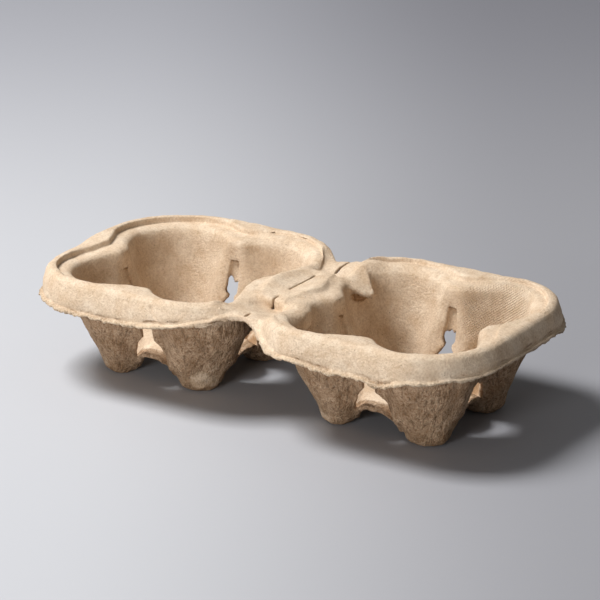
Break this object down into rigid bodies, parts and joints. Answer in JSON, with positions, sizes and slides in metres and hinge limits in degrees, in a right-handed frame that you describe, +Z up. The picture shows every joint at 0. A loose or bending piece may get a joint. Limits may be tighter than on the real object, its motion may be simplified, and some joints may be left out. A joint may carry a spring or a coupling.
{
  "type": "cup carrier",
  "caption": "Moulded-pulp carrier with side-by-side flared pockets for takeaway cups, joined by a perforated bridge and standing on hollow feet.",
  "frame": {"origin": "middle of the carrier, between its pockets, at the height where its feet rest", "axes": "+X through both pockets, +Y across the carrier, away from the camera of the picture, +Z up out of the pockets"},
  "size_m": [0.2188, 0.1108, 0.0475],
  "materials": {
    "moulded_pulp": "matte, fibrous, unbleached paper pulp"
  },
  "bodies": {
    "root": {"carrier": "moulded_pulp"}
  },
  "joints": []
}
